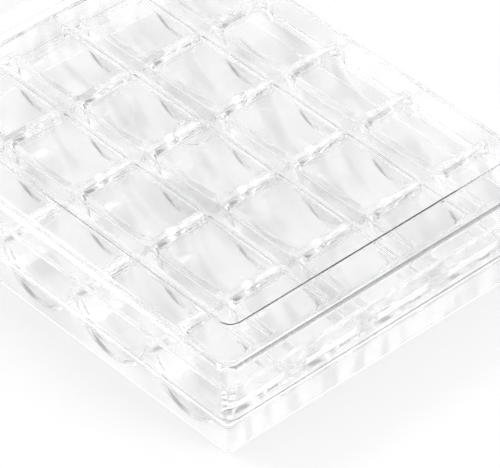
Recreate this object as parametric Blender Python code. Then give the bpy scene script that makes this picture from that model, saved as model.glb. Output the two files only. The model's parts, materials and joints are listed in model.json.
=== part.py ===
"""Clear bobbin storage box: a tray of half-round pockets under a deep lift-off lid.

Metres, +Z up. X runs along the pocket rows (the long side), Y across them.
The origin is the centre of the footprint, on the surface that the box stands on.
"""

import math

import bmesh
import bpy

# The bobbin that each pocket holds on its edge, and the room above it under the lid.
BOBBIN_DIAMETER = 0.0205
HEADROOM = 0.0014

# Pockets.
ROW_COUNT = 5
POCKETS_PER_ROW = 5
POCKET_RADIUS = 0.01125
POCKET_WIDTH = 0.0144
POCKET_DEPTH = 0.0102
POCKET_WALL = 0.0011
RIDGE_WIDTH = 0.0021
RIDGE_DEPTH = 0.0026
ARC_STEPS = 16

# Hollow channels between the rows, closed on top by a bridge.
CHANNEL_WIDTH = 0.0066
BRIDGE_THICKNESS = 0.0012

# Outer wall of the tray: a band that shows below the lid, and a neck that the lid slides over.
FOOT_CLEARANCE = 0.0012
BAND_HEIGHT = 0.0075
BAND_WALL = 0.0011
BAND_CORNER_RADIUS = 0.0012
SHOULDER_THICKNESS = 0.0012
NECK_WALL = 0.0013
RIM_HEIGHT = 0.0034
CORNER_STEPS = 6

# Lid.
LID_WALL = 0.0013
LID_TOP = 0.0012
LID_CLEARANCE = 0.0003
LID_SEAT_GAP = 0.0003
LID_CORNER_RADIUS = 0.0034
LID_EDGE_RADIUS = 0.0024
LID_INNER_EDGE_RADIUS = 0.0004
LID_EDGE_STEPS = 4
PANEL_INSET = 0.0082
PANEL_CORNER_RADIUS = 0.0028
PANEL_STEP_HEIGHT = 0.0002
PANEL_STEP_RUN = 0.0003
BORDER_SLOPE = math.radians(12)

# How far a cutter or a joined piece runs past the face that it crosses.
OVERRUN = 0.002

# Looks: the plastic, and the angle below which neighbouring faces shade as one.
PLASTIC_IOR = 1.59
PLASTIC_ROUGHNESS = 0.04
TRAY_TINT = (0.93, 0.94, 0.95, 1)
LID_TINT = (0.96, 0.97, 0.97, 1)
SMOOTH_ANGLE = math.radians(30)

# Worked out from the sizes above.
POCKET_RISE = POCKET_RADIUS - POCKET_DEPTH
HALF_MOUTH = math.sqrt(POCKET_RADIUS**2 - POCKET_RISE**2)
POCKET_PITCH = 2 * HALF_MOUTH + RIDGE_WIDTH
ROW_PITCH = POCKET_WIDTH + CHANNEL_WIDTH
FLOOR_Z = FOOT_CLEARANCE + POCKET_WALL
PLATEAU_Z = FLOOR_Z + POCKET_DEPTH
POCKET_AXIS_Z = PLATEAU_Z + POCKET_RISE
RIM_Z = PLATEAU_Z + RIM_HEIGHT
INNER_LENGTH = POCKETS_PER_ROW * POCKET_PITCH - RIDGE_WIDTH
INNER_WIDTH = ROW_COUNT * ROW_PITCH - CHANNEL_WIDTH
NECK_LENGTH = INNER_LENGTH + 2 * NECK_WALL
NECK_WIDTH = INNER_WIDTH + 2 * NECK_WALL
OUTER_LENGTH = NECK_LENGTH + 2 * (LID_CLEARANCE + LID_WALL)
OUTER_WIDTH = NECK_WIDTH + 2 * (LID_CLEARANCE + LID_WALL)
NECK_CORNER_RADIUS = LID_CORNER_RADIUS - LID_WALL - LID_CLEARANCE
SHOULDER_Z = BAND_HEIGHT - SHOULDER_THICKNESS
CEILING_Z = FLOOR_Z + BOBBIN_DIAMETER + HEADROOM
PANEL_Z = CEILING_Z + LID_TOP
SKIRT_Z = BAND_HEIGHT + LID_SEAT_GAP


def clear_scene():
    for thing in list(bpy.data.objects):
        bpy.data.objects.remove(thing, do_unlink=True)


def clear_plastic(name, tint):
    """Water-clear polystyrene with a faint tint."""
    material = bpy.data.materials.new(name)
    material.use_nodes = True
    shader = material.node_tree.nodes["Principled BSDF"]
    shader.inputs["Base Color"].default_value = tint
    shader.inputs["Roughness"].default_value = PLASTIC_ROUGHNESS
    shader.inputs["Metallic"].default_value = 0
    shader.inputs["IOR"].default_value = PLASTIC_IOR
    shader.inputs["Transmission Weight"].default_value = 1
    return material


def add_object(name, mesh_data, material):
    """Link a finished bmesh under its name and free it."""
    bmesh.ops.recalc_face_normals(mesh_data, faces=mesh_data.faces)
    mesh = bpy.data.meshes.new(name)
    mesh_data.to_mesh(mesh)
    mesh_data.free()
    mesh.materials.append(material)
    thing = bpy.data.objects.new(name, mesh)
    bpy.context.scene.collection.objects.link(thing)
    return thing


def extrude_face(mesh_data, corners, along):
    """A closed prism: a polygon through the corners, drawn out along a vector."""
    face = mesh_data.faces.new([mesh_data.verts.new(corner) for corner in corners])
    swept = bmesh.ops.extrude_face_region(mesh_data, geom=[face])["geom"]
    moved = [item for item in swept if isinstance(item, bmesh.types.BMVert)]
    bmesh.ops.translate(mesh_data, verts=moved, vec=along)


def hide_cutter(cutter):
    cutter.hide_render = True
    cutter.display_type = "WIRE"


def combine(target, tool, operation):
    boolean = target.modifiers.new(tool.name, "BOOLEAN")
    boolean.operation = operation
    boolean.solver = "EXACT"
    boolean.object = tool
    hide_cutter(tool)


def rounded_rectangle(length, width, radius, height):
    """Corners of a rectangle about the origin, each rounded in CORNER_STEPS steps."""
    points = []
    for quarter in range(4):
        across, up = ((1, 1), (-1, 1), (-1, -1), (1, -1))[quarter]
        centre_x = across * (length / 2 - radius)
        centre_y = up * (width / 2 - radius)
        for step in range(CORNER_STEPS + 1):
            angle = math.pi / 2 * (quarter + step / CORNER_STEPS)
            x = centre_x + radius * math.cos(angle)
            y = centre_y + radius * math.sin(angle)
            points.append((x, y, height))
    return points


def rectangle(half_x, half_y, height):
    """Corners of a plain rectangle about the origin."""
    return [
        (-half_x, -half_y, height),
        (half_x, -half_y, height),
        (half_x, half_y, height),
        (-half_x, half_y, height),
    ]


def column(name, outline, height, material):
    """An upright prism on a flat outline."""
    mesh_data = bmesh.new()
    extrude_face(mesh_data, outline, (0, 0, height))
    return add_object(name, mesh_data, material)


def pocket_centres():
    first = -(POCKETS_PER_ROW - 1) / 2 * POCKET_PITCH
    return [first + index * POCKET_PITCH for index in range(POCKETS_PER_ROW)]


def row_span(row):
    """Y of the near and far faces inside the pockets of a row, counted from 0."""
    near = -INNER_WIDTH / 2 + row * ROW_PITCH
    return near, near + POCKET_WIDTH


def arc_below(centre_x, radius, half_width):
    """Points down and up a round trough, from one side to the other, at the pockets' axis."""
    start = math.acos(half_width / radius)
    turn = math.pi - 2 * start
    points = []
    for step in range(ARC_STEPS + 1):
        angle = math.pi + start + turn * step / ARC_STEPS
        x = centre_x + radius * math.cos(angle)
        z = POCKET_AXIS_Z + radius * math.sin(angle)
        points.append((x, z))
    return points


def row_outline():
    """Outer section of a row in X and Z: flat on top, a round trough under each pocket."""
    outer = POCKET_RADIUS + POCKET_WALL
    web_drop = POCKET_RISE + RIDGE_DEPTH
    half_trough = math.sqrt(outer**2 - web_drop**2)
    end = INNER_LENGTH / 2
    points = [(-end, PLATEAU_Z)]
    for centre in pocket_centres():
        for x, z in arc_below(centre, outer, half_trough):
            if abs(x) < end:
                points.append((x, z))
        if centre == pocket_centres()[0]:
            points.insert(1, end_corner(outer, -end))
    points.append(end_corner(outer, end))
    points.append((end, PLATEAU_Z))
    return points


def end_corner(outer, end):
    """Where the first and last trough meet the end wall."""
    drop = math.sqrt(outer**2 - HALF_MOUTH**2)
    return end, POCKET_AXIS_Z - drop


def pocket_outline(centre):
    """Section of one pocket, open past the ridges above it."""
    points = arc_below(centre, POCKET_RADIUS, HALF_MOUTH)
    top = PLATEAU_Z + OVERRUN
    return [(points[0][0], top), *points, (points[-1][0], top)]


def pocket_row(row, material):
    """One row of pockets: the troughs and the thin end walls that face the channels."""
    near, far = row_span(row)
    first = row == 0
    last = row == ROW_COUNT - 1
    start = near if first else near - POCKET_WALL
    stop = far if last else far + POCKET_WALL
    mesh_data = bmesh.new()
    corners = [(x, start, z) for x, z in row_outline()]
    extrude_face(mesh_data, corners, (0, stop - start, 0))
    solid = add_object(f"pocket_row_{row + 1}", mesh_data, material)

    cut_start = near - OVERRUN if first else near
    cut_stop = far + OVERRUN if last else far
    mesh_data = bmesh.new()
    for centre in pocket_centres():
        corners = [(x, cut_start, z) for x, z in pocket_outline(centre)]
        extrude_face(mesh_data, corners, (0, cut_stop - cut_start, 0))
    cutter = add_object(f"pocket_row_{row + 1}_cutter", mesh_data, material)
    combine(solid, cutter, "DIFFERENCE")
    return solid


def row_bridge(gap, material):
    """The strip that closes the channel between two rows, level with the ridges."""
    near = row_span(gap)[1] + POCKET_WALL
    far = row_span(gap + 1)[0] - POCKET_WALL
    end = INNER_LENGTH / 2
    low = PLATEAU_Z - BRIDGE_THICKNESS
    mesh_data = bmesh.new()
    corners = [(-end, near, low), (end, near, low), (end, near, PLATEAU_Z), (-end, near, PLATEAU_Z)]
    extrude_face(mesh_data, corners, (0, far - near, 0))
    return add_object(f"row_bridge_{gap + 1}", mesh_data, material)


def end_wall(name, start, stop, material):
    """Closes the outermost pockets of a long side, from one Y to another, down to their troughs."""
    mesh_data = bmesh.new()
    corners = [(x, start, z) for x, z in row_outline()]
    extrude_face(mesh_data, corners, (0, stop - start, 0))
    return add_object(name, mesh_data, material)


def outer_wall(material):
    """The tray's own wall: the thin low band, its shoulder, the neck above and the end walls."""
    band = rounded_rectangle(OUTER_LENGTH, OUTER_WIDTH, BAND_CORNER_RADIUS, 0)
    wall = column("tray_wall", band, BAND_HEIGHT, material)
    neck_start = SHOULDER_Z + SHOULDER_THICKNESS / 2
    neck = rounded_rectangle(NECK_LENGTH, NECK_WIDTH, NECK_CORNER_RADIUS, neck_start)
    combine(wall, column("tray_neck_tool", neck, RIM_Z - neck_start, material), "UNION")
    hollow_x, hollow_y = OUTER_LENGTH / 2 - BAND_WALL, OUTER_WIDTH / 2 - BAND_WALL
    hollow = rectangle(hollow_x, hollow_y, -OVERRUN)
    combine(wall, column("tray_band_cutter", hollow, SHOULDER_Z + OVERRUN, material), "DIFFERENCE")
    x, y = INNER_LENGTH / 2, INNER_WIDTH / 2
    well = rectangle(x, y, -OVERRUN)
    combine(wall, column("tray_well_cutter", well, RIM_Z + 2 * OVERRUN, material), "DIFFERENCE")
    combine(wall, end_wall("near_end_tool", -y - NECK_WALL, -y, material), "UNION")
    combine(wall, end_wall("far_end_tool", y, y + NECK_WALL, material), "UNION")
    return wall


def lid_section(shift, edge_radius, drop):
    """Inset and height up one face of the lid: skirt, rounded edge, sloped border, panel step.

    The inner face is the outer one moved in by shift and down by drop.
    """
    crease = PANEL_INSET - PANEL_STEP_RUN
    crease_z = PANEL_Z - PANEL_STEP_HEIGHT - drop
    run = crease - shift - edge_radius * (1 - math.sin(BORDER_SLOPE))
    edge_top = crease_z - run * math.tan(BORDER_SLOPE)
    edge_start = edge_top - edge_radius * math.cos(BORDER_SLOPE)
    points = [(shift, SKIRT_Z)]
    for step in range(LID_EDGE_STEPS + 1):
        angle = (math.pi / 2 - BORDER_SLOPE) * step / LID_EDGE_STEPS
        inset = shift + edge_radius * (1 - math.cos(angle))
        points.append((inset, edge_start + edge_radius * math.sin(angle)))
    points.append((crease, crease_z))
    points.append((PANEL_INSET, PANEL_Z - drop))
    return points


def lid_rings(section, corner_radius):
    """A rounded rectangle for each point of a section, its corners easing to the panel's."""
    first = section[0][0]
    rings = []
    for inset, height in section:
        share = (inset - first) / (PANEL_INSET - first)
        radius = corner_radius + share * (PANEL_CORNER_RADIUS - corner_radius)
        length = OUTER_LENGTH - 2 * inset
        width = OUTER_WIDTH - 2 * inset
        rings.append(rounded_rectangle(length, width, radius, height))
    return rings


def lid(material):
    """A thin shell with a deep skirt and a raised flat panel."""
    inner_corner_radius = LID_CORNER_RADIUS - LID_WALL
    outside = lid_rings(lid_section(0, LID_EDGE_RADIUS, 0), LID_CORNER_RADIUS)
    inside = lid_rings(lid_section(LID_WALL, LID_INNER_EDGE_RADIUS, LID_TOP), inner_corner_radius)
    mesh_data = bmesh.new()
    loops = []
    for ring in [*reversed(inside), *outside]:
        loops.append([mesh_data.verts.new(point) for point in ring])
    for lower, upper in zip(loops, loops[1:]):
        for index in range(len(lower)):
            after = (index + 1) % len(lower)
            mesh_data.faces.new((lower[index], lower[after], upper[after], upper[index]))
    mesh_data.faces.new(loops[0])
    mesh_data.faces.new(loops[-1])
    return add_object("lid", mesh_data, material)


def build():
    clear_scene()
    tray_plastic = clear_plastic("tray_clear", TRAY_TINT)
    lid_plastic = clear_plastic("lid_clear", LID_TINT)
    outer_wall(tray_plastic)
    for row in range(ROW_COUNT):
        pocket_row(row, tray_plastic)
    for gap in range(ROW_COUNT - 1):
        row_bridge(gap, tray_plastic)
    top = lid(lid_plastic)
    top.data.shade_smooth()
    top.data.set_sharp_from_angle(angle=SMOOTH_ANGLE)


build()
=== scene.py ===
import json
import math

import bmesh
import bpy
import numpy as np
from mathutils import Matrix, Vector

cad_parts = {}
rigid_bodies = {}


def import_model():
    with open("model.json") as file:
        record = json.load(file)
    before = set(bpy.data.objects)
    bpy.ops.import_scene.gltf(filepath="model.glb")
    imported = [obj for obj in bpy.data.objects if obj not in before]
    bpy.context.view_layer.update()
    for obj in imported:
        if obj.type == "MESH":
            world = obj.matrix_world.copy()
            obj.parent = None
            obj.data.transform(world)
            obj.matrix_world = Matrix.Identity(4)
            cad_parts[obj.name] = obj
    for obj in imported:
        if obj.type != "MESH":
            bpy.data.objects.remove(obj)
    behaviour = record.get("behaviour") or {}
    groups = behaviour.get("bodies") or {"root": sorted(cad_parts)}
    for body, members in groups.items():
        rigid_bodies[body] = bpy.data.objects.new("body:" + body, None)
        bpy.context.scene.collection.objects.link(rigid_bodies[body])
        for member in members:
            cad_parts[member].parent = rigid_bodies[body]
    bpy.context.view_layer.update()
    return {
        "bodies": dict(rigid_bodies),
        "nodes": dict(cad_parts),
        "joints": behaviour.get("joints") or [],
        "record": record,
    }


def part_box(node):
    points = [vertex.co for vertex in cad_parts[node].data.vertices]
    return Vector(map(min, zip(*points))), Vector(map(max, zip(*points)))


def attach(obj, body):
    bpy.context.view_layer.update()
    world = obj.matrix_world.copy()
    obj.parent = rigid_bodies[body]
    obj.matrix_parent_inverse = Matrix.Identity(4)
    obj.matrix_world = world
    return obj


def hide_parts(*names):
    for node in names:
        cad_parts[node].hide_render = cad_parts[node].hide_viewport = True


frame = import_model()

mm = 0.001

# The photograph's viewpoint, in millimetres and degrees.
photo = {
    "azimuth": 48.07,        # from -Y round by +X
    "elevation": 40.33,
    "roll": -0.54,
    "target": (24.24, -10.42, 12.50),
    "distance": 922.9,
    "lens": 304.1,
    "sensor": 36.0,
    "farthest": 20.0,        # metres that the camera still sees
}

print("frame loaded")


def cross(rows, columns):
    """Two lists of numbers as a grid: rows down, columns across."""
    return np.meshgrid(rows, columns, indexing="ij")


def gridFaces(rows, columns, start=0):
    """Quads of a grid whose points are numbered row by row from start."""
    corner = (np.arange(rows - 1)[:, None] * columns + np.arange(columns - 1)[None, :]).ravel() + start
    return np.stack([corner, corner + 1, corner + columns + 1, corner + columns], axis=1)


def ringFaces(rings, count, start=0):
    """Quads between closed rings of count points each, numbered ring by ring from start."""
    first = np.arange(count)
    after = (first + 1) % count
    level = np.arange(rings - 1)[:, None] * count + start
    corners = [level + first, level + after, level + after + count, level + first + count]
    return np.stack(corners, axis=2).reshape(-1, len(corners))


def surfaceObject(name, points, quads, caps=(), crease=35.0, weld=0.002 * mm):
    """A closed mesh from points, quads and flat end caps: doubles merged, faces turned outwards."""
    mesh = bpy.data.meshes.new(name)
    mesh.from_pydata(points.tolist(), [], [*quads.tolist(), *[list(cap) for cap in caps]])
    work = bmesh.new()
    work.from_mesh(mesh)
    bmesh.ops.remove_doubles(work, verts=work.verts, dist=weld)
    bmesh.ops.dissolve_degenerate(work, edges=work.edges, dist=weld / 2)
    bmesh.ops.recalc_face_normals(work, faces=work.faces)
    openEdges = sum(not edge.is_manifold for edge in work.edges)
    work.to_mesh(mesh)
    work.free()
    mesh.shade_smooth()
    mesh.set_sharp_from_angle(angle=math.radians(crease))
    piece = bpy.data.objects.new(name, mesh)
    bpy.context.scene.collection.objects.link(piece)
    print(name, len(mesh.polygons), "faces,", openEdges, "open edges")
    return piece


# Tray: one moulding, drawn as an upper and a lower skin that meet round the outer wall.
tray = {
    "rows": 5,
    "pocketsPerRow": 5,
    "pocketRadius": 11.25 * mm,
    "pocketWidth": 14.4 * mm,
    "pocketDepth": 10.2 * mm,
    "pocketWall": 1.1 * mm,
    "ridgeDepth": 2.6 * mm,
    "bridge": 1.2 * mm,
    "footClearance": 1.2 * mm,
    "ridgeEdge": 0.3 * mm,       # rounding of the ridge tops
    "webEdge": 0.4 * mm,         # rounding under the ridges
    "wallEdge": 0.25 * mm,       # rounding where an end wall meets the bridge
    "floorFillet": 0.5 * mm,     # rounding where an end wall meets the trough
    "channelCorner": 1.2 * mm,   # rounding at the top of the hollow channels
    "underEdge": 0.7 * mm,
    "rimEdge": 0.35 * mm,
    "neckInset": 1.6 * mm,       # the neck's face behind the band's
    "bandHeight": 7.5 * mm,
    "bandWall": 1.1 * mm,
    "bandEdge": 0.25 * mm,
    "bandCorner": 1.2 * mm,
    "bandInnerCorner": 0.3 * mm,
    "shoulder": 1.2 * mm,
    "endEdge": 0.2 * mm,
    "neckCorner": 1.8 * mm,
    "wellCorner": 0.5 * mm,
    "arcSteps": 24,
    "edgeSteps": 4,
    "cornerSteps": 8,
    "hold": 0.06 * mm,           # a guard line this close to each rounding keeps the flats flat
}


def trough(radius, drop, edge, halfPitch, halfMouth, isFirst, isLast):
    """X and depth across one trough and half of the ridge on each side.

    The trough is a circle of the given radius with its axis drop above the ridge top. The edge is a
    small circle that touches it from outside and the ridge top from below.
    """
    reach = math.sqrt((radius + edge) ** 2 - (drop + edge) ** 2)
    turn = math.asin(reach / (radius + edge))
    endTurn = math.asin(halfMouth / radius)
    start, end = -endTurn if isFirst else -turn, endTurn if isLast else turn
    angle = np.linspace(start, end, tray["arcSteps"] + 1)
    x = radius * np.sin(angle)
    depth = radius * np.cos(angle) - drop
    lean = np.linspace(math.atan2(drop + edge, reach), math.pi / 2, tray["edgeSteps"] + 1)[1:]
    edgeX = np.append(reach - edge * np.cos(lean), [reach + tray["hold"], halfPitch])
    edgeDepth = np.append(edge - edge * np.sin(lean), [0, 0])
    if not isLast:
        x, depth = np.append(x, edgeX), np.append(depth, edgeDepth)
    if not isFirst:
        x, depth = np.append(-edgeX[::-1], x), np.append(edgeDepth[::-1], depth)
    return x, depth


def troughLine(radius, drop, edge, sizes):
    """The troughs of a row side by side: X and depth below the ridge tops."""
    across, down = [], []
    for index in range(tray["pocketsPerRow"]):
        centre = (index - (tray["pocketsPerRow"] - 1) / 2) * sizes["pitch"]
        isFirst, isLast = index == 0, index == tray["pocketsPerRow"] - 1
        x, depth = trough(radius, drop, edge, sizes["pitch"] / 2, sizes["halfMouth"], isFirst, isLast)
        start = 0 if isFirst else 1      # the middle of a ridge belongs to the trough before it
        across.append(x[start:] + centre)
        down.append(depth[start:])
    return np.concatenate(across), np.concatenate(down)


def wallStep(wallAt, topEdge, footEdge, depth, inwards):
    """Y and share of full depth down one end wall: rounded shoulder, upright face, rounded foot."""
    turn = np.linspace(0, math.pi / 2, tray["edgeSteps"] + 1)
    topY = -topEdge + topEdge * np.sin(turn)
    topShare = (topEdge - topEdge * np.cos(turn)) / depth
    footY = footEdge - footEdge * np.cos(turn)
    footShare = 1 - (footEdge - footEdge * np.sin(turn)) / depth
    y = np.concatenate([[-topEdge - tray["hold"]], topY, footY, [footEdge + tray["hold"]]])
    share = np.concatenate([[0], topShare, footShare, [1]])
    if not inwards:
        y, share = -y[::-1], share[::-1]
    return y + wallAt, share


def wallLine(inset, topEdge, footEdge, depth, sizes, reachesWall):
    """The end walls of all the rows: Y and share of depth, 0 on the bridges and 1 in the pockets."""
    across, share = [], []
    for row in range(tray["rows"]):
        near = -sizes["halfWidth"] + row * sizes["rowPitch"]
        far = near + tray["pocketWidth"]
        nearY, nearShare = wallStep(near - inset, topEdge, footEdge, depth, True)
        farY, farShare = wallStep(far + inset, topEdge, footEdge, depth, False)
        if row == 0:
            nearY, nearShare = outerStep(near, footEdge, depth, len(nearY), reachesWall)
        if row == tray["rows"] - 1:
            farY, farShare = outerStep(far, footEdge, depth, len(farY), reachesWall)
            farY, farShare = 2 * far - farY[::-1], farShare[::-1]
        across += [nearY, farY]
        share += [nearShare, farShare]
    return np.concatenate(across), np.concatenate(share)


def outerStep(wallAt, footEdge, depth, count, reachesWall):
    """The same against the outer wall, whose face runs on past the pockets."""
    turn = np.linspace(0, math.pi / 2, tray["edgeSteps"] + 1)
    if reachesWall:
        y = np.concatenate([[0], footEdge - footEdge * np.cos(turn), [footEdge + tray["hold"]]])
        share = np.concatenate([[0], 1 - (footEdge - footEdge * np.sin(turn)) / depth, [1]])
    else:
        y = np.array([0, tray["hold"]])
        share = np.array([1.0, 1.0])
    spare = count - len(y)
    y = np.append(y, np.full(spare, y[-1]))
    share = np.append(share, np.full(spare, share[-1]))
    return y + wallAt, share


def outline(xs, ys, inset, corner, height, exact=False):
    """A rounded rectangle as a closed ring of points, its sides spaced like xs and ys.

    Exact keeps the spacing and only moves the ends; otherwise the sides are stretched to fit.
    Height is one number or a pair of lists: along X, along Y.
    """
    halfLength, halfWidth = frame["halfLength"] - inset, frame["halfWidth"] - inset
    if exact:
        x, y = xs.copy(), ys.copy()
        x[[0, -1]] = -halfLength, halfLength
        y[[0, -1]] = -halfWidth, halfWidth
    else:
        x = xs / abs(xs[0]) * (halfLength - corner)
        y = ys / abs(ys[0]) * (halfWidth - corner)
    isLevel = not isinstance(height, tuple)
    alongX, alongY = (np.full(len(x), height), np.full(len(y), height)) if isLevel else height
    turn = np.linspace(0, math.pi / 2, tray["cornerSteps"] + 1)[1:-1]
    sides = [
        (x, np.full(len(x), -halfWidth), alongX, (1, -1, -math.pi / 2)),
        (np.full(len(y), halfLength), y, alongY, (1, 1, 0)),
        (x[::-1], np.full(len(x), halfWidth), alongX[::-1], (-1, 1, math.pi / 2)),
        (np.full(len(y), -halfLength), y[::-1], alongY[::-1], (-1, -1, math.pi)),
    ]
    parts = []
    for sideX, sideY, sideZ, (signX, signY, start) in sides:
        parts.append(np.stack([sideX, sideY, sideZ], axis=1))
        arcX = signX * (halfLength - corner) + corner * np.cos(start + turn)
        arcY = signY * (halfWidth - corner) + corner * np.sin(start + turn)
        parts.append(np.stack([arcX, arcY, np.full(len(turn), sideZ[-1])], axis=1))
    return np.concatenate(parts)


def rim(points, steps):
    """A line of (inset, height, rounding, corner) with every rounding drawn as an arc.

    Each corner of the line is cut back by rounding * tan(half its turn) and filled by an arc.
    """
    flat = np.array([(p[0], p[1]) for p in points])
    made = [(flat[0][0], flat[0][1], points[0][3])]
    for index in range(1, len(points) - 1):
        radius, corner = points[index][2], points[index][3]
        before = flat[index - 1] - flat[index]
        after = flat[index + 1] - flat[index]
        before, after = before / np.linalg.norm(before), after / np.linalg.norm(after)
        opening = math.acos(np.clip(before @ after, -1, 1))
        cut = radius / math.tan(opening / 2)
        middle = before + after
        centre = flat[index] + middle / np.linalg.norm(middle) * radius / math.sin(opening / 2)
        first = flat[index] + before * cut
        last = flat[index] + after * cut
        made.append((*(first + before * tray["hold"]), corner))
        for share in np.linspace(0, 1, steps + 1):
            blend = (first - centre) * math.sin((1 - share) * (math.pi - opening))
            blend = blend + (last - centre) * math.sin(share * (math.pi - opening))
            made.append((*(centre + blend / math.sin(math.pi - opening)), corner))
        made.append((*(last + after * tray["hold"]), corner))
    made.append((flat[-1][0], flat[-1][1], points[-1][3]))
    return made


def buildTray():
    radius, depth = tray["pocketRadius"], tray["pocketDepth"]
    drop = radius - depth
    halfMouth = math.sqrt(radius**2 - drop**2)
    length = frame["innerLength"]
    sizes = {
        "halfMouth": halfMouth,
        "pitch": (length - 2 * halfMouth) / (tray["pocketsPerRow"] - 1),
        "halfWidth": frame["innerWidth"] / 2,
        "rowPitch": (frame["innerWidth"] - tray["pocketWidth"]) / (tray["rows"] - 1),
    }
    plateau = tray["footClearance"] + tray["pocketWall"] + depth
    under = plateau - tray["bridge"]
    axisZ = plateau + drop
    underDepth = depth + tray["pocketWall"] - tray["bridge"]

    # Upper skin: height = plateau - trough depth(x) * wall share(y).
    xs, sink = troughLine(radius, drop, tray["ridgeEdge"], sizes)
    ys, share = wallLine(0, tray["wallEdge"], tray["floorFillet"], depth, sizes, True)
    gridX, gridY = cross(xs, ys)
    upper = np.stack([gridX, gridY, plateau - np.outer(sink, share)], axis=2)

    # Lower skin: the same with the trough's outer radius, below the bridges.
    outer = radius + tray["pocketWall"]
    webDrop = axisZ - plateau + tray["ridgeDepth"]
    lowXs, lowSink = troughLine(outer, webDrop, tray["webEdge"], sizes)
    lowSink = lowSink + tray["ridgeDepth"] - tray["bridge"]
    lowYs, lowShare = wallLine(
        tray["pocketWall"], tray["channelCorner"], tray["underEdge"], underDepth, sizes, False
    )
    gridX, gridY = cross(lowXs, lowYs)
    lower = np.stack([gridX, gridY, under - np.outer(lowSink, lowShare)], axis=2)

    # Outer wall: rings from the upper skin's edge over the rim, down the band and up inside it.
    wall, neck, band = frame["wallInset"], tray["neckInset"], tray["bandHeight"]
    shoulder = band - tray["shoulder"]
    section = rim(
        [
            (wall, plateau, 0, tray["wellCorner"]),
            (wall, frame["rimZ"], tray["rimEdge"], tray["wellCorner"]),
            (neck, frame["rimZ"], tray["rimEdge"], tray["neckCorner"]),
            (neck, band, tray["bandEdge"] / 2, tray["neckCorner"]),
            (0, band, tray["bandEdge"], tray["bandCorner"]),
            (0, 0, tray["bandEdge"], tray["bandCorner"]),
            (tray["bandWall"], 0, tray["bandEdge"], tray["bandInnerCorner"]),
            (tray["bandWall"], shoulder, tray["bandEdge"], tray["bandInnerCorner"]),
            (neck, shoulder, 0, 0),
        ],
        tray["edgeSteps"],
    )
    rings = [edgeRing(upper, tray["cornerSteps"] - 1)]
    for inset, height, corner in section[1:-1]:
        isInner = height < band - tray["bandEdge"] and inset > tray["bandEdge"]
        spacing = (lowXs, lowYs) if isInner else (xs, ys)
        rings.append(outline(*spacing, inset, corner, height))

    # End walls: from the shoulder down to the troughs' outer arcs and in to the lower skin.
    ends = np.minimum(lower[:, 0, 2], shoulder)
    level = np.full(len(lowYs), shoulder)
    rings.append(outline(lowXs, lowYs, neck, 0, shoulder, True))
    for turn in np.linspace(0, math.pi / 2, tray["edgeSteps"] + 1):
        inset = neck + tray["endEdge"] * (1 - math.cos(turn))
        rise = np.minimum(ends + tray["endEdge"] * (1 - math.sin(turn)), shoulder)
        rings.append(outline(lowXs, lowYs, inset, 0, (rise, level), True))
    rings.append(outline(lowXs, lowYs, wall, 0, (ends, level), True))
    rings.append(edgeRing(lower, tray["cornerSteps"] - 1))
    count = len(rings[0])
    points = np.concatenate([upper.reshape(-1, 3), lower.reshape(-1, 3), np.concatenate(rings)])
    upperCount = upper.shape[0] * upper.shape[1]
    lowerCount = lower.shape[0] * lower.shape[1]
    quads = np.concatenate([
        gridFaces(*upper.shape[:2]),
        gridFaces(*lower.shape[:2], start=upperCount)[:, ::-1],
        ringFaces(len(rings), count, start=upperCount + lowerCount),
    ])
    return surfaceObject("tray_moulding", points, quads)


def edgeRing(skin, fill):
    """The outer edge of a skin as a ring, its corners repeated to match the rounded rings."""
    corner = np.ones((fill, 1))
    return np.concatenate([
        skin[:, 0], corner * skin[-1, 0],
        skin[-1, :], corner * skin[-1, -1],
        skin[::-1, -1], corner * skin[0, -1],
        skin[0, ::-1], corner * skin[0, 0],
    ])


# Lid: a profile of inset and height carried round a rounded rectangle, once outside and once inside.
lid = {
    "wall": 1.3 * mm,
    "top": 1.2 * mm,
    "corner": 3.4 * mm,
    "edge": 2.4 * mm,
    "innerEdge": 0.4 * mm,
    "panelInset": 8.2 * mm,
    "panelCorner": 2.8 * mm,
    "stepHeight": 0.17 * mm,      # the flat panel stands this proud of the sloped border
    "stepRun": 0.3 * mm,
    "slope": 12.0,                # degrees
    "creaseEdge": 0.1 * mm,
    "panelEdge": 0.15 * mm,
    "lipEdge": 0.25 * mm,
    "steps": 6,
}


def lidSection(shift, edge, drop, skirtZ, panelZ):
    """Inset, height, rounding and corner up one face of the lid."""
    panel = lid["panelInset"]
    crease = panel - lid["stepRun"]
    top = panelZ - drop
    foot = top - lid["stepHeight"]
    border = foot - (crease - shift) * math.tan(math.radians(lid["slope"]))
    corner = lid["corner"] - shift
    return [
        (shift, skirtZ, 0, corner),
        (shift, border, edge, corner),
        (crease, foot, lid["creaseEdge"], lid["panelCorner"] + lid["stepRun"]),
        (panel, top, lid["panelEdge"], lid["panelCorner"]),
        (panel + 2 * lid["panelEdge"], top, 0, lid["panelCorner"] - lid["panelEdge"]),
    ]


def buildLid():
    low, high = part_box("lid")
    outside = lidSection(0, lid["edge"], 0, low.z, high.z)
    inside = lidSection(lid["wall"], lid["innerEdge"], lid["top"], low.z, high.z)
    innerCorner = lid["corner"] - lid["wall"]
    lip = [
        (lid["wall"], low.z + 2 * lid["lipEdge"], 0, innerCorner),
        (lid["wall"], low.z, lid["lipEdge"], innerCorner),
        (0, low.z, lid["lipEdge"], lid["corner"]),
        (0, low.z + 2 * lid["lipEdge"], 0, lid["corner"]),
    ]
    section = [
        *rim(inside, lid["steps"])[:0:-1],
        *rim(lip, lid["steps"] // 2),
        *rim(outside, lid["steps"])[1:],
    ]
    side = np.array([-1.0, 0.0, 1.0])
    rings = [outline(side, side, inset, corner, height) for inset, height, corner in section]
    count = len(rings[0])
    quads = ringFaces(len(rings), count)
    caps = [range(count), range(count * (len(rings) - 1), count * len(rings))]
    return surfaceObject("lid_moulding", np.concatenate(rings), quads, caps)


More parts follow.
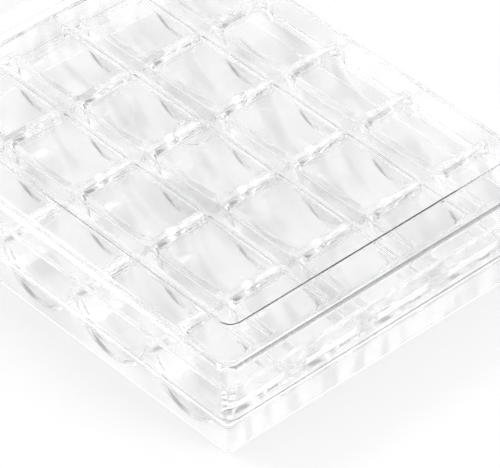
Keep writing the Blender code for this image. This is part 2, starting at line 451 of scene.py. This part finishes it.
# Marks that the mould leaves under the lid's panel: plain raised rings.
marks = {
    "rings": {                   # centre x, centre y, radius, thickness
        "lid_ring_mark": (0.9 * mm, -6.2 * mm, 4.2 * mm, 0.20 * mm),
        "lid_gate_mark": (-1.9 * mm, 10.6 * mm, 1.2 * mm, 0.15 * mm),
        "lid_gate_point": (-1.9 * mm, 10.6 * mm, 0.4 * mm, 0.15 * mm),
    },
    "turns": 72,
    "sides": 10,
}


def buildRing(name, x, y, radius, thickness, ceiling):
    """A ring whose section is a circle of radius t.

    x = (radius + t cos v) cos u, y = (radius + t cos v) sin u, z = t sin v, with u round the ring and
    v round its section.
    """
    circle = 2 * math.pi
    u, v = cross(np.linspace(0, circle, marks["turns"] + 1), np.linspace(0, circle, marks["sides"] + 1))
    reach = radius + thickness * np.cos(v)
    rise = ceiling + thickness * np.sin(v)
    points = np.stack([x + reach * np.cos(u), y + reach * np.sin(u), rise], axis=2)
    return surfaceObject(name, points.reshape(-1, 3), gridFaces(*points.shape[:2]))


# Shader maths: a socket that can be added, multiplied and subtracted.
class Wire:
    def __init__(self, tree, socket):
        self.tree = tree
        self.socket = socket

    def node(self, kind, inputs, output=0, **settings):
        """Any node: its settings first, then the values or links of its sockets."""
        made = self.tree.nodes.new(kind)
        for key, value in settings.items():
            setattr(made, key, value)
        for key, value in inputs.items():
            if isinstance(value, Wire):
                self.tree.links.new(value.socket, made.inputs[key])
            else:
                made.inputs[key].default_value = value
        return Wire(self.tree, made.outputs[output])

    def math(self, operation, first, second):
        return self.node("ShaderNodeMath", {0: first, 1: second}, operation=operation)

    def noise(self, place, scale, detail):
        return self.node("ShaderNodeTexNoise", {"Vector": place, "Scale": scale, "Detail": detail})

    def mixColour(self, factor, first, second):
        """A Mix node's colour sockets have the numbers 6, 7 and, going out, 2."""
        return self.node(
            "ShaderNodeMix", {0: factor, 6: first, 7: second}, output=2, data_type="RGBA"
        )

    def __add__(self, other):
        return self.math("ADD", self, other)

    def __radd__(self, other):
        return self.math("ADD", other, self)

    def __sub__(self, other):
        return self.math("SUBTRACT", self, other)

    def __rsub__(self, other):
        return self.math("SUBTRACT", other, self)

    def __mul__(self, other):
        return self.math("MULTIPLY", self, other)

    def __rmul__(self, other):
        return self.math("MULTIPLY", other, self)


def newMaterial(name):
    material = bpy.data.materials.new(name)
    material.use_nodes = True
    tree = material.node_tree
    shader = tree.nodes["Principled BSDF"]
    return material, tree, shader, Wire(tree, shader.outputs[0])


plastic = {
    "ior": 1.59,
    "roughness": 0.015,
    "tint": (0.997, 0.998, 0.999, 1),
    "hazeScale": 60.0,
    "hazeDetail": 3.0,
    "hazeShare": 0.02,           # added roughness where the haze is thickest
    "waveScale": 45.0,
    "waveDetail": 1.0,
    "waveHeight": 0.01 * mm,
    "waveStrength": 0.5,
    "shadowStreakStretch": (60.0, 260.0, 60.0),      # painted shadow streaks, standing for the shade that light through the troughs casts, drawn out along X
    "shadowStreakDetail": 1.0,
    "shadowStreakRange": (0.45, 0.65),               # noise values where a painted shadow streak starts and is full
    "shadowStreakTone": 0.65,                        # the tint's share left in a full painted shadow streak
    "shadowStreakDepth": 0.45,
}


def clearPlastic(name, shadowStreak):
    """Water-clear moulded plastic: a trace of tint, faint haze, slight waves and painted shadow streaks
    darkening the tint.
    """
    material, tree, shader, wire = newMaterial(name)
    place = wire.node("ShaderNodeTexCoord", {}, output="Object")
    cloud = wire.noise(place, plastic["hazeScale"], plastic["hazeDetail"])
    wave = wire.noise(place, plastic["waveScale"], plastic["waveDetail"])
    rough = cloud * plastic["hazeShare"] + plastic["roughness"]
    tree.links.new(rough.socket, shader.inputs["Roughness"])
    bump = wire.node(
        "ShaderNodeBump",
        {"Height": wave, "Strength": plastic["waveStrength"], "Distance": plastic["waveHeight"]},
    )
    tree.links.new(bump.socket, shader.inputs["Normal"])
    # Painted shadow streaks: stretched noise darkens the tint along X, standing for the shade cast by
    # light through the troughs.
    stretched = wire.node(
        "ShaderNodeVectorMath", {0: place, 1: plastic["shadowStreakStretch"]}, operation="MULTIPLY"
    )
    shadowNoise = wire.noise(stretched, 1.0, plastic["shadowStreakDetail"])
    start, full = plastic["shadowStreakRange"]
    mark = wire.node(
        "ShaderNodeMapRange", {"Value": shadowNoise, "From Min": start, "From Max": full, "To Max": shadowStreak}
    )
    tint = plastic["tint"]
    dark = (*(plastic["shadowStreakTone"] * channel for channel in tint[:3]), 1)
    colour = wire.mixColour(mark, tint, dark)
    tree.links.new(colour.socket, shader.inputs["Base Color"])
    shader.inputs["Transmission Weight"].default_value = 1.0
    shader.inputs["IOR"].default_value = plastic["ior"]
    return material


studio = {
    "floorSize": 6.0,
    "floorColor": (0.80, 0.80, 0.80, 1),
    "floorRoughness": 0.9,
    "floorLift": 0.72,           # the floor's glow seen in or through the plastic
    "floorGlow": 0.57,           # and seen by the camera itself
    "worldFill": 0.42,           # the room as it lights the floor
    "worldSeen": 1.0,            # and as the camera sees it
    "worldBack": 1.0,            # and as it shows in or through the plastic
    "worldPatch": 0.05,          # a dark flag at the camera's right, which draws the dark edges
    "patchPlace": (96.0, 65.0),  # bearing from the camera, elevation
    "patchRadius": (16.0, 30.0), # degrees: fully dark, fully bright
    "lamps": {                   # watts, metres across, bearing from the camera, elevation
        "key": (3.6, 0.7, 62.0, 34.0),
        "rim": (2.6, 0.4, 240.0, 48.0),
    },
    "lampDistance": 1.6,
    "bounces": 40,               # enough for every face of the plastic that a ray meets
}


def lightPath(wire):
    """Two masks: seen by the camera, and seen in or through the plastic."""
    camera = wire.node("ShaderNodeLightPath", {}, output="Is Camera Ray")
    outputs = camera.socket.node.outputs
    names = ("Is Glossy Ray", "Is Transmission Ray")
    glossy, through = (Wire(wire.tree, outputs[name]) for name in names)
    return camera, wire.math("MINIMUM", glossy + through, 1)      # a ray through plastic counts as both


def buildFloor():
    half = studio["floorSize"] / 2
    points = np.array([(-half, -half, 0), (half, -half, 0), (half, half, 0), (-half, half, 0)])
    mesh = bpy.data.meshes.new("floor")
    mesh.from_pydata(points.tolist(), [], [(0, 1, 2, 3)])
    floor = bpy.data.objects.new("floor", mesh)
    bpy.context.scene.collection.objects.link(floor)
    material, tree, shader, wire = newMaterial("pale_floor")
    shader.inputs["Base Color"].default_value = studio["floorColor"]
    shader.inputs["Roughness"].default_value = studio["floorRoughness"]
    shader.inputs["Specular IOR Level"].default_value = 0.0
    camera, bounced = lightPath(wire)
    share = camera * studio["floorGlow"] + bounced * studio["floorLift"]
    glow = wire.mixColour(share, (0, 0, 0, 1), (1, 1, 1, 1))
    shader.inputs["Emission Strength"].default_value = 1.0
    tree.links.new(glow.socket, shader.inputs["Emission Color"])
    mesh.materials.append(material)


def buildWorld():
    world = bpy.data.worlds.new("studio")
    bpy.context.scene.world = world
    world.use_nodes = True
    tree = world.node_tree
    background = tree.nodes["Background"]
    wire = Wire(tree, background.outputs[0])
    camera, bounced = lightPath(wire)
    place = wire.node("ShaderNodeTexCoord", {}, output="Generated")
    # Bright room with a dark flag: tone by the cosine of the angle from the flag's middle.
    bearing, elevation = studio["patchPlace"]
    flag = tuple(direction(photo["azimuth"] + bearing, elevation))
    facing = wire.node(
        "ShaderNodeVectorMath", {0: place, 1: flag}, output="Value", operation="DOT_PRODUCT"
    )
    inner, outer = (math.cos(math.radians(angle)) for angle in studio["patchRadius"])
    glow = wire.node(
        "ShaderNodeMapRange",
        {"Value": facing, "From Min": outer, "From Max": inner,
         "To Min": studio["worldBack"], "To Max": studio["worldPatch"]},
        interpolation_type="SMOOTHSTEP",
    )
    fill = (1 - camera - bounced) * studio["worldFill"]
    strength = camera * studio["worldSeen"] + bounced * glow + fill
    background.inputs["Color"].default_value = (1, 1, 1, 1)
    tree.links.new(strength.socket, background.inputs["Strength"])


def buildLamps():
    for name, (power, size, bearing, elevation) in studio["lamps"].items():
        data = bpy.data.lights.new(name, "AREA")
        data.energy = power
        data.size = size
        lamp = bpy.data.objects.new(name, data)
        away = direction(photo["azimuth"] + bearing, elevation)
        lamp.location = away * studio["lampDistance"]
        lamp.rotation_euler = (-away).to_track_quat("-Z", "Y").to_euler()
        bpy.context.scene.collection.objects.link(lamp)


def direction(azimuth, elevation):
    """Unit vector towards a bearing counted from -Y round by +X, and a height above the horizon."""
    turn, lift = math.radians(azimuth), math.radians(elevation)
    return Vector((math.sin(turn) * math.cos(lift), -math.cos(turn) * math.cos(lift), math.sin(lift)))


def buildCamera():
    """The photograph's viewpoint: azimuth, elevation and roll about the target, at a long lens."""
    azimuth, roll = math.radians(photo["azimuth"]), math.radians(photo["roll"])
    back = direction(photo["azimuth"], photo["elevation"])
    right = Vector((math.cos(azimuth), math.sin(azimuth), 0))
    up = back.cross(right)
    rolled = right * math.cos(roll) + up * math.sin(roll)
    up = up * math.cos(roll) - right * math.sin(roll)
    data = bpy.data.cameras.new("camera")
    data.lens = photo["lens"]
    data.sensor_width = photo["sensor"]
    data.clip_end = photo["farthest"]
    camera = bpy.data.objects.new("camera", data)
    turn = Matrix((rolled, up, back)).transposed().to_4x4()
    place = Vector(photo["target"]) * mm + back * photo["distance"] * mm
    camera.matrix_world = Matrix.Translation(place) @ turn
    bpy.context.scene.collection.objects.link(camera)
    bpy.context.scene.camera = camera


def readFrame():
    """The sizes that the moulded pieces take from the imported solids."""
    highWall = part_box("tray_wall")[1]
    lowRow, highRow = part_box("pocket_row_1")
    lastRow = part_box(f"pocket_row_{tray['rows']}")[1]
    frame["halfLength"] = highWall.x
    frame["halfWidth"] = highWall.y
    frame["innerLength"] = highRow.x - lowRow.x
    frame["innerWidth"] = lastRow.y - lowRow.y
    frame["wallInset"] = frame["halfLength"] - frame["innerLength"] / 2
    frame["rimZ"] = highWall.z


readFrame()
print("tray")
trayPiece = buildTray()
# The tray's plastic carries the painted shadow streaks; the lid's plastic gets depth 0 and has none.
trayPiece.data.materials.append(clearPlastic("tray_plastic", plastic["shadowStreakDepth"]))
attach(trayPiece, "tray")
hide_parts(*frame["record"]["behaviour"]["bodies"]["tray"])

print("lid")
lidPiece = buildLid()
lidPiece.data.materials.append(clearPlastic("lid_plastic", 0))
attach(lidPiece, "lid")
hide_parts("lid")
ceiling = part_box("lid")[1].z - lid["top"]
for name, (x, y, radius, thickness) in marks["rings"].items():
    ring = buildRing(name, x, y, radius, thickness, ceiling)
    ring.data.materials.append(lidPiece.data.materials[0])
    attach(ring, "lid")

print("studio")
buildFloor()
buildWorld()
buildLamps()
buildCamera()
scene = bpy.context.scene
scene.view_settings.view_transform = "Standard"
scene.cycles.max_bounces = studio["bounces"]
scene.cycles.transmission_bounces = studio["bounces"]
scene.cycles.glossy_bounces = studio["bounces"]

print("done")
